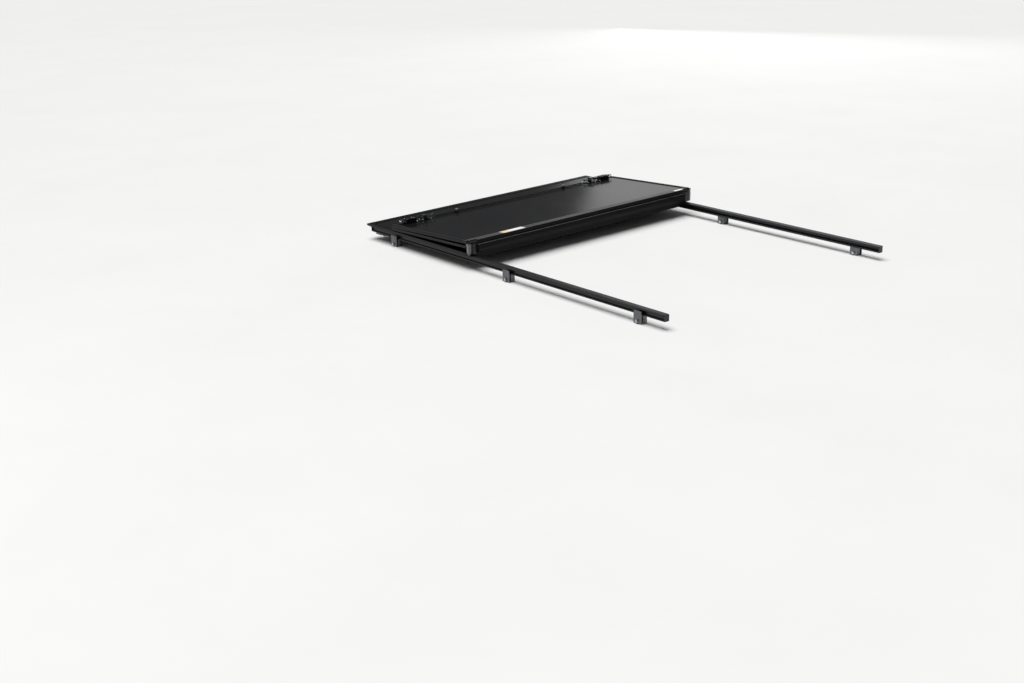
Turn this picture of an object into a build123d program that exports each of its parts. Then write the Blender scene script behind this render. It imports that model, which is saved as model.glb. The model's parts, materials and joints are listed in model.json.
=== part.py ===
from build123d import *
import math
import os

os.makedirs("parts", exist_ok=True)

# Driving dimensions, millimetres. X runs to the truck's right, Y forward to the cab, Z up.
# Z = 0 is the top of the bed rails and the origin is the middle of the closed cover.
HALF_WIDTH = 772.0
THICK = 12.0
SEAT = 3.0
FRONT_LENGTH = 794.0
FOLD_LENGTH = 590.0
REAR_LENGTH = 585.0
EDGE = 6.4
BAR = 28.0
SIDE_BAR = 22.0
GRIP = 8.0
SANDWICH = 9.0
SKIN = 1.2
PIVOT_Y = 222.0
PIVOT_Z = SEAT + THICK / 2
LINK = 59.0
BEAD_R = 3.6
SOCKET_R = 3.9
SOCKET_OUT = 5.9
BARREL_Y = EDGE + FOLD_LENGTH + 4.0
BARREL_Z = THICK / 2 + 0.6
BARREL_R = 3.6
PIN_R = 1.5
TILT = 2.894
REAR_TILT = 2.0
RAIL_IN = 725.0
RAIL_OUT = 750.0
RAIL_DEEP = 30.0
RAIL_FRONT = 1022.0
RAIL_BACK = -1022.0
BELLY_HALF = 717.0
CAP_IN = 717.5
BELLY = 20.0
THIN = 8.4
CLAMP_Y = (820.0, -40.0, -880.0)
LATCH_X = 545.0
LATCH_LONG = 165.0
LATCH_NEAR = 550.0
LATCH_FAR = 588.0
LATCH_TALL = 21.5
BOLT_TIP = 737.0
SPRING_NEAR = 602.0
SPRING_R = 9.0
MIDDLE_EAR = 574.0
REAR_EAR = 551.0

# The three panels' own planes: local x across, y away from the panel's hinge, z out of its top face.
tilt = math.radians(TILT)
lean = math.radians(REAR_TILT)
B_Y = PIVOT_Y
B_Z = PIVOT_Z + LINK
C_Y = B_Y + BARREL_Y * math.cos(tilt) - BARREL_Z * math.sin(tilt)
C_Z = B_Z - BARREL_Y * math.sin(tilt) - BARREL_Z * math.cos(tilt)
REAR_Y = C_Y - BARREL_Z * math.sin(lean)
REAR_Z = C_Z - BARREL_Z * math.cos(lean)
FRONT = Plane(origin=(0, PIVOT_Y, PIVOT_Z), x_dir=(1, 0, 0), z_dir=(0, 0, 1))
MIDDLE = Plane(origin=(0, B_Y, B_Z), x_dir=(-1, 0, 0), z_dir=(0, -math.sin(tilt), -math.cos(tilt)))
REAR = Plane(origin=(0, REAR_Y, REAR_Z), x_dir=(-1, 0, 0), z_dir=(0, math.sin(lean), math.cos(lean)))
print("pivot C", C_Y, C_Z)


def block(plane, x0, x1, y0, y1, z0, z1, mode=Mode.ADD):
    """A box in a panel's own axes."""
    with BuildSketch(plane.offset(z0)) as face:
        with Locations(((x0 + x1) / 2, (y0 + y1) / 2)):
            Rectangle(x1 - x0, y1 - y0)
    extrude(face.sketch, amount=z1 - z0, mode=mode)


def section(plane, x):
    """The plane across a panel at x, its own x along the panel and its own y out of the top face."""
    start = plane.from_local_coords(Vector(x, 0, 0))
    across = plane.x_dir
    return Plane(origin=start, x_dir=plane.y_dir, z_dir=across)


def bead(plane, half):
    """A hinge bead and its neck along a panel's near edge."""
    with BuildSketch(section(plane, -half)) as face:
        Circle(BEAD_R)
        with Locations(((EDGE + 1) / 2 + 0.5, 0)):
            Rectangle(EDGE, 2.4)
    extrude(face.sketch, amount=2 * half)


def knuckles(plane, y, z, side, first):
    """Every second knuckle of the pinned hinge, with the leaf that joins it to its edge bar."""
    half = HALF_WIDTH - SIDE_BAR
    step = 2 * half / 10
    for i in range(first, 10, 2):
        with BuildSketch(section(plane, -half + i * step + 0.4)) as face:
            with Locations((y, z)):
                Circle(BARREL_R)
            with Locations((y - side * 3.2, z - 2.2)):
                Rectangle(6.4, 2.6)
            with Locations((y, z)):
                Circle(PIN_R + 0.05, mode=Mode.SUBTRACT)
        extrude(face.sketch, amount=step - 0.8)


def sandwich(plane, start, length, z0, z1):
    """One layer of a panel, let into the frame by its grip."""
    reach = HALF_WIDTH - SIDE_BAR + GRIP
    block(plane, -reach, reach, start + BAR - GRIP, start + length - BAR + GRIP, z0, z1)


def cross_bar(plane, y0, y1, slot_at):
    """A frame bar across a panel, slotted for the sandwich along one edge."""
    half = HALF_WIDTH - SIDE_BAR
    block(plane, -half, half, y0, y1, -THICK / 2, THICK / 2)
    s0, s1 = (y1 - GRIP, y1) if slot_at > 0 else (y0, y0 + GRIP)
    block(plane, -half, half, s0, s1, -SANDWICH / 2, SANDWICH / 2, Mode.SUBTRACT)


def side_bar(plane, side, start, length):
    """A frame bar along a panel's side, slotted for the sandwich."""
    inner = HALF_WIDTH - SIDE_BAR
    x0, x1 = sorted((side * inner, side * HALF_WIDTH))
    g0, g1 = sorted((side * inner, side * (inner + GRIP)))
    block(plane, x0, x1, start, start + length, -THICK / 2, THICK / 2)
    block(
        plane, g0, g1, start + BAR - GRIP, start + length - BAR + GRIP, -SANDWICH / 2, SANDWICH / 2,
        Mode.SUBTRACT,
    )


def seals(plane, start, length):
    """The two side seals under a panel's side bars."""
    for side in (-1, 1):
        x0, x1 = sorted((side * 758, side * 768))
        block(plane, x0, x1, start, start + length, -THICK / 2 - SEAT + 0.1, -THICK / 2)


def rail(side):
    """One bed rail: flat top, a latch groove facing the bed and a relief facing the body side."""
    with BuildSketch(Plane.XZ.offset(-RAIL_FRONT)) as face:
        with Locations((side * (RAIL_IN + RAIL_OUT) / 2, -RAIL_DEEP / 2)):
            Rectangle(RAIL_OUT - RAIL_IN, RAIL_DEEP)
        with Locations((side * (RAIL_IN + 7), -15.5)):
            Rectangle(14, 13, mode=Mode.SUBTRACT)
        with Locations((side * (RAIL_OUT - 3.5), -15)):
            Rectangle(7, 20, mode=Mode.SUBTRACT)
    extrude(face.sketch, amount=RAIL_FRONT - RAIL_BACK)


def wrapped(depth):
    """The link's section: two open sockets and a web with a crowned outer face."""
    with BuildLine() as outline:
        Polyline((4.8, 4.8), (4.8, LINK - 4.8), (-4.4, LINK - 4.8), (-4.4, 47.0), (-5.6, 47.0))
        ThreePointArc((-5.6, 47.0), (-depth, 26.0), (-5.6, -1.0))
        Polyline((-5.6, -1.0), (-4.4, -1.0), (-4.4, 4.8), (4.8, 4.8))
    make_face(outline.edges())
    with Locations((0, 0), (0, LINK)):
        Circle(SOCKET_OUT)
    with Locations((0, 0), (0, LINK)):
        Circle(SOCKET_R, mode=Mode.SUBTRACT)
    with BuildLine() as lower_mouth:
        Polyline((0, 0), (9, 3.4), (9, -9), (-3.4, -9), (0, 0))
    make_face(lower_mouth.edges(), mode=Mode.SUBTRACT)
    with BuildLine() as upper_mouth:
        Polyline((0, LINK), (9, LINK - 3.8), (9, LINK + 9), (-3.4, LINK + 9), (0, LINK))
    make_face(upper_mouth.edges(), mode=Mode.SUBTRACT)


LINK_PLANE = Plane(origin=(0, PIVOT_Y, PIVOT_Z), x_dir=(0, 1, 0), z_dir=(1, 0, 0))


# Bed rails
with BuildPart() as left_side_rail:
    rail(-1)
with BuildPart() as right_side_rail:
    rail(1)

with BuildPart() as left_rail_seal:
    with BuildSketch(Plane.XZ.offset(-RAIL_FRONT)):
        with Locations((-RAIL_OUT - 3.4, -2.6)):
            RectangleRounded(6.8, 6.0, 1.8)
    extrude(amount=RAIL_FRONT - RAIL_BACK)
with BuildPart() as right_rail_seal:
    with BuildSketch(Plane.XZ.offset(-RAIL_FRONT)):
        with Locations((RAIL_OUT + 3.4, -2.6)):
            RectangleRounded(6.8, 6.0, 1.8)
    extrude(amount=RAIL_FRONT - RAIL_BACK)

with BuildPart() as rail_end_caps:
    for side in (-1, 1):
        for y0 in (RAIL_FRONT, RAIL_BACK - 4):
            with BuildSketch(Plane.XZ.offset(-y0 - 4)):
                with Locations((side * (RAIL_IN + RAIL_OUT) / 2, -RAIL_DEEP / 2)):
                    RectangleRounded(RAIL_OUT - RAIL_IN, RAIL_DEEP, 2.0)
            extrude(amount=4)

# Six clamps hold the rails to the bed's inner flanges
with BuildPart() as clamp_inner_jaws:
    for side in (-1, 1):
        for y in CLAMP_Y:
            with BuildSketch(Plane.XY.offset(-68)):
                with Locations((side * 736, y)):
                    RectangleRounded(24, 44, 4)
            extrude(amount=38)
            with BuildSketch(Plane.YZ.offset(side * 736 - 15)):
                with Locations((y, -56)):
                    Circle(4.1)
            extrude(amount=30, mode=Mode.SUBTRACT)
with BuildPart() as clamp_outer_jaws:
    for side in (-1, 1):
        for y in CLAMP_Y:
            with BuildSketch(Plane.XY.offset(-68)):
                with Locations((side * 759, y)):
                    Rectangle(6, 44)
            extrude(amount=56)
            with BuildSketch(Plane.YZ.offset(side * 759 - 5)):
                with Locations((y, -56)):
                    Circle(4.1)
            extrude(amount=10, mode=Mode.SUBTRACT)
with BuildPart() as clamp_bolts:
    for side in (-1, 1):
        for y in CLAMP_Y:
            with BuildSketch(Plane.YZ.offset(side * 747 - 23)):
                with Locations((y, -56)):
                    Circle(4.0)
            extrude(amount=46)
            with BuildSketch(Plane.YZ.offset(side * 721 - 3)):
                with Locations((y, -56)):
                    RegularPolygon(7.5, 6)
            extrude(amount=6)
with BuildPart() as clamp_nuts:
    for side in (-1, 1):
        for y in CLAMP_Y:
            with BuildSketch(Plane.YZ.offset(side * 765.2 - 3.1)):
                with Locations((y, -56)):
                    RegularPolygon(7.5, 6)
                    Circle(4.0, mode=Mode.SUBTRACT)
            extrude(amount=6.2)

# Front panel, fixed behind the cab
with BuildPart() as front_core:
    sandwich(FRONT, EDGE, FRONT_LENGTH, -SANDWICH / 2 + SKIN, SANDWICH / 2 - SKIN)
with BuildPart() as front_top_skin:
    sandwich(FRONT, EDGE, FRONT_LENGTH, SANDWICH / 2 - SKIN, SANDWICH / 2)
with BuildPart() as front_bottom_skin:
    sandwich(FRONT, EDGE, FRONT_LENGTH, -SANDWICH / 2, -SANDWICH / 2 + SKIN)
with BuildPart() as front_left_bar:
    side_bar(FRONT, -1, EDGE, FRONT_LENGTH)
with BuildPart() as front_right_bar:
    side_bar(FRONT, 1, EDGE, FRONT_LENGTH)
with BuildPart() as front_hinge_bar:
    cross_bar(FRONT, EDGE, EDGE + BAR, 1)
    bead(FRONT, HALF_WIDTH - SIDE_BAR)
with BuildPart() as front_header_bar:
    cross_bar(FRONT, EDGE + FRONT_LENGTH - BAR, EDGE + FRONT_LENGTH, -1)
with BuildPart() as front_cross_bow:
    block(FRONT, -BELLY_HALF, BELLY_HALF, EDGE + 1.5, EDGE + 25.5, -28, -6)
    block(FRONT, -BELLY_HALF, BELLY_HALF, EDGE + 3.5, EDGE + 23.5, -26, -8, Mode.SUBTRACT)
with BuildPart() as bulkhead_seal:
    with BuildSketch(Plane.YZ.offset(-HALF_WIDTH)):
        with Locations((RAIL_FRONT + 4.5 + 1.9, 9.0)):
            RectangleRounded(8, 10, 3)
    extrude(amount=2 * HALF_WIDTH)
with BuildPart() as front_side_seals:
    seals(FRONT, EDGE, FRONT_LENGTH)
with BuildPart() as front_clamp_hooks:
    for side in (-1, 1):
        block(FRONT, side * 706 - 10, side * 706 + 10, 730, 770, -38, -6)
        x0, x1 = sorted((side * 710, side * 746))
        block(FRONT, x0, x1, 730, 770, -48, -39.2)
        block(FRONT, side * 713 - 3, side * 713 + 3, 730, 770, -39.2, -38)
with BuildPart() as front_clamp_knobs:
    for side in (-1, 1):
        with BuildSketch(FRONT.offset(-60)):
            with Locations((side * 702, 750)):
                Circle(16)
        extrude(amount=22 - 0.2)
        with BuildSketch(FRONT.offset(-60)):
            for turn in range(6):
                angle = math.radians(60 * turn)
                with Locations((side * 702 + 18 * math.cos(angle), 750 + 18 * math.sin(angle))):
                    Circle(5)
        extrude(amount=21.8, mode=Mode.SUBTRACT)
        block(FRONT, side * 718 - 30, side * 718 + 40, 720, 780, -50, -37, Mode.SUBTRACT)

# Hinge link, standing upright behind the folded stack
with BuildPart() as hinge_link:
    with BuildSketch(LINK_PLANE.offset(-BELLY_HALF)):
        wrapped(BELLY)
    extrude(amount=2 * BELLY_HALF)
with BuildPart() as left_link_cap:
    with BuildSketch(LINK_PLANE.offset(-HALF_WIDTH)):
        wrapped(THIN)
    extrude(amount=HALF_WIDTH - CAP_IN)
with BuildPart() as right_link_cap:
    with BuildSketch(LINK_PLANE.offset(CAP_IN)):
        wrapped(THIN)
    extrude(amount=HALF_WIDTH - CAP_IN)

# Middle panel, lying upside down on top of the stack
with BuildPart() as middle_core:
    sandwich(MIDDLE, EDGE, FOLD_LENGTH, -SANDWICH / 2 + SKIN, SANDWICH / 2 - SKIN)
with BuildPart() as middle_top_skin:
    sandwich(MIDDLE, EDGE, FOLD_LENGTH, SANDWICH / 2 - SKIN, SANDWICH / 2)
with BuildPart() as middle_bottom_skin:
    sandwich(MIDDLE, EDGE, FOLD_LENGTH, -SANDWICH / 2, -SANDWICH / 2 + SKIN)
with BuildPart() as middle_right_bar:
    side_bar(MIDDLE, -1, EDGE, FOLD_LENGTH)
with BuildPart() as middle_left_bar:
    side_bar(MIDDLE, 1, EDGE, FOLD_LENGTH)
with BuildPart() as middle_link_bar:
    cross_bar(MIDDLE, EDGE, EDGE + BAR, 1)
    bead(MIDDLE, HALF_WIDTH - SIDE_BAR)
with BuildPart() as middle_rear_bar:
    cross_bar(MIDDLE, EDGE + FOLD_LENGTH - BAR, EDGE + FOLD_LENGTH, -1)
    knuckles(MIDDLE, BARREL_Y, BARREL_Z, 1, 0)
with BuildPart() as middle_side_seals:
    seals(MIDDLE, EDGE, FOLD_LENGTH)
with BuildPart() as rear_hinge_pin:
    with BuildSketch(section(MIDDLE, -(HALF_WIDTH - SIDE_BAR))):
        with Locations((BARREL_Y, BARREL_Z)):
            Circle(PIN_R)
    extrude(amount=2 * (HALF_WIDTH - SIDE_BAR))

# Rear panel, folded between the other two
with BuildPart() as rear_core:
    sandwich(REAR, 4.0, REAR_LENGTH, -SANDWICH / 2 + SKIN, SANDWICH / 2 - SKIN)
with BuildPart() as rear_top_skin:
    sandwich(REAR, 4.0, REAR_LENGTH, SANDWICH / 2 - SKIN, SANDWICH / 2)
with BuildPart() as rear_bottom_skin:
    sandwich(REAR, 4.0, REAR_LENGTH, -SANDWICH / 2, -SANDWICH / 2 + SKIN)
with BuildPart() as rear_right_bar:
    side_bar(REAR, -1, 4.0, REAR_LENGTH)
with BuildPart() as rear_left_bar:
    side_bar(REAR, 1, 4.0, REAR_LENGTH)
with BuildPart() as rear_hinge_bar:
    cross_bar(REAR, 4.0, 4.0 + BAR, 1)
    knuckles(REAR, 0, BARREL_Z, -1, 1)
with BuildPart() as rear_tail_bar:
    cross_bar(REAR, 4.0 + REAR_LENGTH - BAR, 4.0 + REAR_LENGTH, -1)
with BuildPart() as rear_side_seals:
    seals(REAR, 4.0, REAR_LENGTH)
with BuildPart() as tailgate_seal:
    block(REAR, -HALF_WIDTH + 20, HALF_WIDTH - 20, REAR_LENGTH - 8, REAR_LENGTH + 2, -9, -6)


def latch_base(plane, side, near, far, ear, tall):
    """A latch's pressed base: a plate, an inner anchor ear and an outer guide with the bolt's hole."""
    a, b = side * LATCH_X, side * (LATCH_X + LATCH_LONG)
    x0, x1 = sorted((a, b))
    block(plane, x0, x1, near, far, -8.4, -6)
    e0, e1 = sorted((side * ear, side * (ear + 4)))
    block(plane, e0, e1, near + 6, far - 6, -6 - tall, -8.4)
    g0, g1 = sorted((side * 651, b))
    block(plane, g0, g1, near + 3, far - 3, -6 - LATCH_TALL, -8.4)
    mid = (near + far) / 2
    h0, h1 = sorted((a, b + side * 2))
    block(plane, h0, h1, mid - 9.1, mid + 9.1, -26.1, -18.9, Mode.SUBTRACT)


def latch_bolt(plane, side, near, far):
    """A latch's flat bolt with its thin stem and the stem's pull eye."""
    mid = (near + far) / 2
    x0, x1 = sorted((side * 652, side * BOLT_TIP))
    block(plane, x0, x1, mid - 9, mid + 9, -26, -19)
    s0, s1 = sorted((side * 536, side * 652))
    with BuildSketch(section(plane, s0)) as face:
        with Locations((mid, -22.5)):
            Circle(3.0)
    extrude(face.sketch, amount=s1 - s0)
    c0, c1 = sorted((side * 530, side * 538))
    with BuildSketch(section(plane, c0)) as face:
        with Locations((mid, -22.5)):
            Circle(6.0)
    extrude(face.sketch, amount=c1 - c0)


def latch_spring(plane, side, near, far):
    """The sleeve-shaped envelope of a latch's return spring around the bolt's stem."""
    mid = (near + far) / 2
    s0, s1 = sorted((side * SPRING_NEAR, side * 650))
    with BuildSketch(section(plane, s0)) as face:
        with Locations((mid, -22.0)):
            Circle(SPRING_R)
        with Locations((mid, -22.5)):
            Circle(3.3, mode=Mode.SUBTRACT)
    extrude(face.sketch, amount=s1 - s0)


REAR_NEAR, REAR_FAR = 538.0, 576.0
with BuildPart() as middle_left_latch_base:
    latch_base(MIDDLE, 1, LATCH_NEAR, LATCH_FAR, MIDDLE_EAR, 25.0)
with BuildPart() as middle_right_latch_base:
    latch_base(MIDDLE, -1, LATCH_NEAR, LATCH_FAR, MIDDLE_EAR, 25.0)
with BuildPart() as middle_left_bolt:
    latch_bolt(MIDDLE, 1, LATCH_NEAR, LATCH_FAR)
with BuildPart() as middle_right_bolt:
    latch_bolt(MIDDLE, -1, LATCH_NEAR, LATCH_FAR)
with BuildPart() as middle_left_spring:
    latch_spring(MIDDLE, 1, LATCH_NEAR, LATCH_FAR)
with BuildPart() as middle_right_spring:
    latch_spring(MIDDLE, -1, LATCH_NEAR, LATCH_FAR)
with BuildPart() as rear_left_latch_base:
    latch_base(REAR, 1, REAR_NEAR, REAR_FAR, REAR_EAR, 18.5)
with BuildPart() as rear_right_latch_base:
    latch_base(REAR, -1, REAR_NEAR, REAR_FAR, REAR_EAR, 18.5)
with BuildPart() as rear_left_bolt:
    latch_bolt(REAR, 1, REAR_NEAR, REAR_FAR)
with BuildPart() as rear_right_bolt:
    latch_bolt(REAR, -1, REAR_NEAR, REAR_FAR)

# Release cables: held in clips along the panels' undersides
with BuildPart() as middle_release_cable:
    with BuildSketch(section(MIDDLE, -515)):
        with Locations((569, -12.0)):
            Circle(2.4)
    extrude(amount=1030)
with BuildPart() as middle_cable_clips:
    for x in (-375, 375):
        block(MIDDLE, x - 7, x + 7, 560, 578, -17, -6)
        with BuildSketch(section(MIDDLE, x - 8)):
            with Locations((569, -12.0)):
                Circle(2.4)
        extrude(amount=16, mode=Mode.SUBTRACT)
with BuildPart() as rear_release_cable:
    with BuildSketch(section(REAR, -515)):
        with Locations((557, -12.0)):
            Circle(2.4)
    extrude(amount=1030)
with BuildPart() as rear_cable_clips:
    for x in (-375, 375):
        block(REAR, x - 7, x + 7, 548, 566, -17, -6)
        with BuildSketch(section(REAR, x - 8)):
            with Locations((557, -12.0)):
                Circle(2.4)
        extrude(amount=16, mode=Mode.SUBTRACT)
with BuildPart() as caution_label:
    block(MIDDLE, 410, 550, EDGE + 1.6, EDGE + 26.4, -6.4, -6.0)
with BuildPart() as care_label:
    block(MIDDLE, -716, -656, EDGE + 1.6, EDGE + 19.6, -6.4, -6.0)

pieces = {
    name: value
    for name, value in list(globals().items())
    if isinstance(value, BuildPart)
}
for name, piece in pieces.items():
    piece.part.label = name
    export_step(piece.part, "parts/" + name + ".step")
print(len(pieces), "parts written")
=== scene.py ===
"""Folding truck bed cover, stacked open on its rails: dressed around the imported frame."""

import json
import logging
import math
from dataclasses import dataclass, field
from enum import Enum
from typing import Optional, Sequence

import bmesh
import bpy
from mathutils import Matrix, Quaternion, Vector


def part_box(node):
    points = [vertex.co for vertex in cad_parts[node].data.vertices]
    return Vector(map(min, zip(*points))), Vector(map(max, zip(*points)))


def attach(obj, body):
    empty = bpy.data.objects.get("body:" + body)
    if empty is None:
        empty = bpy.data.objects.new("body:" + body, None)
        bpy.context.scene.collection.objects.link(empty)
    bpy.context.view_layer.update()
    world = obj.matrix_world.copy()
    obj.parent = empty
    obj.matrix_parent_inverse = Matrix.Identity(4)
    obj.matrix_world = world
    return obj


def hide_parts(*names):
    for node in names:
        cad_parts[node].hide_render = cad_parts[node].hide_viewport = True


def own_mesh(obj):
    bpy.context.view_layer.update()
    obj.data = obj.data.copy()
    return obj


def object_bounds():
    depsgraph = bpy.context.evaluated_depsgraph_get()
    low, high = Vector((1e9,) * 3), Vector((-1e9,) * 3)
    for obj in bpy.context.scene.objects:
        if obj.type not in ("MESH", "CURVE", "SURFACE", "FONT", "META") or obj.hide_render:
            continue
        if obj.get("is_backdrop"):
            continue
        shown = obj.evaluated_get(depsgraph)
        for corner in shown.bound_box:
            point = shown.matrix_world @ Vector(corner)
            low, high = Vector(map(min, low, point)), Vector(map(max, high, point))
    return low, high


LOG = logging.getLogger("tonneau")
MM = 0.001
ACROSS = Vector((1, 0, 0))
CABWARD = Vector((0, 1, 0))
UP = Vector((0, 0, 1))
SMOOTH_BELOW = math.radians(35)
WELD = 1e-7
# Where the blotches of a finish start to drift to its worn colour, and where they reach it.
BLOTCH_LOW, BLOTCH_HIGH = 0.35, 0.75
# How deep a swell of the emboss is, against its width.
SWELL_DEPTH = 0.04
# Half the thickness of a panel: foam between two skins, 12 mm in all.
HALF_THICK = 6.0 * MM
# How far from the middle of a panel its cable clips stand.
CLIP_REACH = 375 * MM

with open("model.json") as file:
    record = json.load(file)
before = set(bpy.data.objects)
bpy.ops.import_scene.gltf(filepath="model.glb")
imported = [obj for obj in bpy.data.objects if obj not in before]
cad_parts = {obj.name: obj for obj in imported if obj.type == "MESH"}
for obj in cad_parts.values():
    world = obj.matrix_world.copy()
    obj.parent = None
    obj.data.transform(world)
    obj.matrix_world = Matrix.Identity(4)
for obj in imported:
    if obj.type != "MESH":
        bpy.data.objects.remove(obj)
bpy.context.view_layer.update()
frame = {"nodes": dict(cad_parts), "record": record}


class Body(Enum):
    """The rigid bodies that pieces ride on."""

    BED = "bed_frame"
    LINK = "link"
    MIDDLE = "middle_panel"
    REAR = "rear_panel"


def linear(hex_colour: str) -> tuple[float, float, float, float]:
    """Turn an sRGB hex colour to linear RGBA.

    Args:
        hex_colour: Six hex digits.

    Returns:
        Linear red, green, blue and an alpha of 1.
    """
    parts = [int(hex_colour[i : i + 2], 16) / 255 for i in (0, 2, 4)]
    flat = [c / 12.92 if c <= 0.04045 else ((c + 0.055) / 1.055) ** 2.4 for c in parts]
    return (flat[0], flat[1], flat[2], 1.0)


def add_node(
    tree: bpy.types.NodeTree,
    kind: str,
    settings: Optional[dict] = None,
    values: Optional[dict] = None,
    links: Optional[dict] = None,
) -> bpy.types.Node:
    """Add one shader node with its settings, socket values and incoming links.

    Args:
        tree: The material's node tree.
        kind: The node's bl_idname.
        settings: Properties to set on the node.
        values: Input socket name or number to value.
        links: Input socket name or number to the output socket that feeds it.

    Returns:
        The new node.
    """
    node = tree.nodes.new(kind)
    for key, value in (settings or {}).items():
        setattr(node, key, value)
    for key, value in (values or {}).items():
        node.inputs[key].default_value = value
    for key, source in (links or {}).items():
        tree.links.new(source, node.inputs[key])
    return node


@dataclass(frozen=True)
class Finish:
    """One real material and how its surface was made.

    A grain is the size of the surface's bumps in millimetres, stretched along X by its own
    factor, and worn is the colour that rubbed or dusty places drift to. A swell is a second,
    broader emboss under the grain.
    """

    name: str
    colour: str
    worn: str
    roughness: float
    metallic: float = 0.0
    grain_mm: float = 1.0
    stretch: float = 1.0
    bump: float = 0.15
    bump_mm: float = 0.1
    rough_spread: float = 0.08
    patch_mm: float = 160.0
    specular: float = 0.5
    swell_mm: float = 0.0
    swell: float = 0.0

    def build(self) -> bpy.types.Material:
        """Make the finish as a node material.

        Returns:
            The Blender material.
        """
        made = bpy.data.materials.get(self.name)
        if made:
            return made
        made = bpy.data.materials.new(self.name)
        made.use_nodes = True
        tree = made.node_tree
        shader = next(n for n in tree.nodes if n.type == "BSDF_PRINCIPLED")
        shader.inputs["Metallic"].default_value = self.metallic
        shader.inputs["Specular IOR Level"].default_value = self.specular
        place = add_node(tree, "ShaderNodeTexCoord")
        squeeze = add_node(
            tree,
            "ShaderNodeMapping",
            values={"Scale": (1.0 / self.stretch, 1.0, 1.0)},
            links={"Vector": place.outputs["Object"]},
        )
        patches = add_node(
            tree,
            "ShaderNodeTexNoise",
            values={"Scale": 1.0 / (self.patch_mm * MM), "Detail": 4.0, "Roughness": 0.6},
            links={"Vector": place.outputs["Object"]},
        )
        grain = add_node(
            tree,
            "ShaderNodeTexNoise",
            values={"Scale": 1.0 / (self.grain_mm * MM), "Detail": 3.0, "Roughness": 0.55},
            links={"Vector": squeeze.outputs["Vector"]},
        )
        tone = add_node(tree, "ShaderNodeValToRGB", links={"Fac": patches.outputs["Fac"]})
        tone.color_ramp.elements[0].position = BLOTCH_LOW
        tone.color_ramp.elements[0].color = linear(self.colour)
        tone.color_ramp.elements[1].position = BLOTCH_HIGH
        tone.color_ramp.elements[1].color = linear(self.worn)
        tree.links.new(tone.outputs["Color"], shader.inputs["Base Color"])
        gloss = add_node(
            tree,
            "ShaderNodeMapRange",
            values={
                "From Min": 0.3,
                "From Max": 0.7,
                "To Min": self.roughness - self.rough_spread,
                "To Max": self.roughness + self.rough_spread,
            },
            links={"Value": patches.outputs["Fac"]},
        )
        tree.links.new(gloss.outputs["Result"], shader.inputs["Roughness"])
        relief = add_node(
            tree,
            "ShaderNodeBump",
            values={"Strength": self.bump, "Distance": self.bump_mm * MM},
            links={"Height": grain.outputs["Fac"]},
        )
        if self.swell:
            cells = add_node(
                tree,
                "ShaderNodeTexVoronoi",
                {"feature": "SMOOTH_F1"},
                {"Scale": 1.0 / (self.swell_mm * MM), "Smoothness": 0.8},
                {"Vector": place.outputs["Object"]},
            )
            broad = add_node(
                tree,
                "ShaderNodeBump",
                values={"Strength": self.swell, "Distance": SWELL_DEPTH * self.swell_mm * MM},
                links={"Height": cells.outputs["Distance"]},
            )
            tree.links.new(broad.outputs["Normal"], relief.inputs["Normal"])
        tree.links.new(relief.outputs["Normal"], shader.inputs["Normal"])
        return made


# Polyester powder coat, sprayed and baked on extruded aluminium: an even satin black whose
# 0.8 mm orange peel is drawn at 2 mm so that it shows.
POWDER_COAT = Finish(
    "powder_coated_aluminium", "0c0c0d", "131315", 0.42, grain_mm=2.0, bump=0.2, specular=0.22
)
# Textured powder coat, sprayed and baked to a fine wrinkle: a dull black that shows its light
# from above and little from the floor.
WRINKLE_COAT = Finish(
    "wrinkle_powder_coated_aluminium", "131314", "19191a", 0.6, grain_mm=1.6, bump=0.35,
    specular=0.14,
)
# Glass-fibre skin, rolled with a leathery emboss: charcoal, satin, with 14 mm swells under a
# 3 mm grain that break up whatever shines in it.
PANEL_SKIN = Finish(
    "embossed_fibreglass_skin", "151516", "1d1d1e", 0.15, grain_mm=3.0, bump=0.2, bump_mm=0.08,
    rough_spread=0.03, patch_mm=380.0, specular=0.5, swell_mm=14.0, swell=0.16,
)
# Polyurethane foam core, sawn: pale and matt, seen only where an edge shows.
FOAM = Finish("sawn_foam_core", "cbc5b4", "bfb8a5", 0.9, grain_mm=1.2, bump=0.5)
# EPDM rubber, extruded: dull black that greys with dust.
RUBBER = Finish("extruded_epdm_rubber", "0f0f0f", "1c1c1b", 0.7, grain_mm=1.5, bump=0.2)
# Thermoplastic hinge cover strip, extruded, with a soft sheen. Its dark grey, far paler than the
# black bar under it, is painted reflection: the light from above that the bar's semi-gloss top
# gives back.
HINGE_STRIP_PAINTED_REFLECTION = Finish(
    "hinge_strip_painted_reflection", "414142", "4c4c4d", 0.42, grain_mm=1.2, stretch=20.0, bump=0.2
)
# Glass-filled nylon, moulded with a spark-eroded grain.
NYLON = Finish("moulded_nylon", "121213", "1d1d1e", 0.45, grain_mm=0.8, bump=0.25)
# Grey acetal, moulded: the end shells and cable posts, paler than all round them. On the link's end
# shells the pale grey is partly the moulding's own grey and partly painted light, for the light
# from the left that those end faces catch.
ACETAL_AND_PAINTED_END_LIGHT = Finish(
    "grey_acetal_and_painted_end_light", "7a7b7d", "636466", 0.33, grain_mm=0.9, bump=0.15, patch_mm=30.0
)
# A thin bright metal bead with grain along it, laid on the hinge link's rounded top edge: its pale
# grey is a painted highlight, the light that edge catches.
PAINTED_HIGHLIGHT_BEAD = Finish(
    "painted_edge_highlight_bead", "8e9093", "7c7e81", 0.36, metallic=0.9, grain_mm=0.6, stretch=30.0,
    bump=0.15,
)
# Zinc-plated steel, tumbled then plated: bright, slightly blotched.
ZINC = Finish(
    "zinc_plated_steel", "c3c6ca", "a2a6ab", 0.26, metallic=1.0, grain_mm=1.0, bump=0.05,
    patch_mm=12.0,
)
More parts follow.
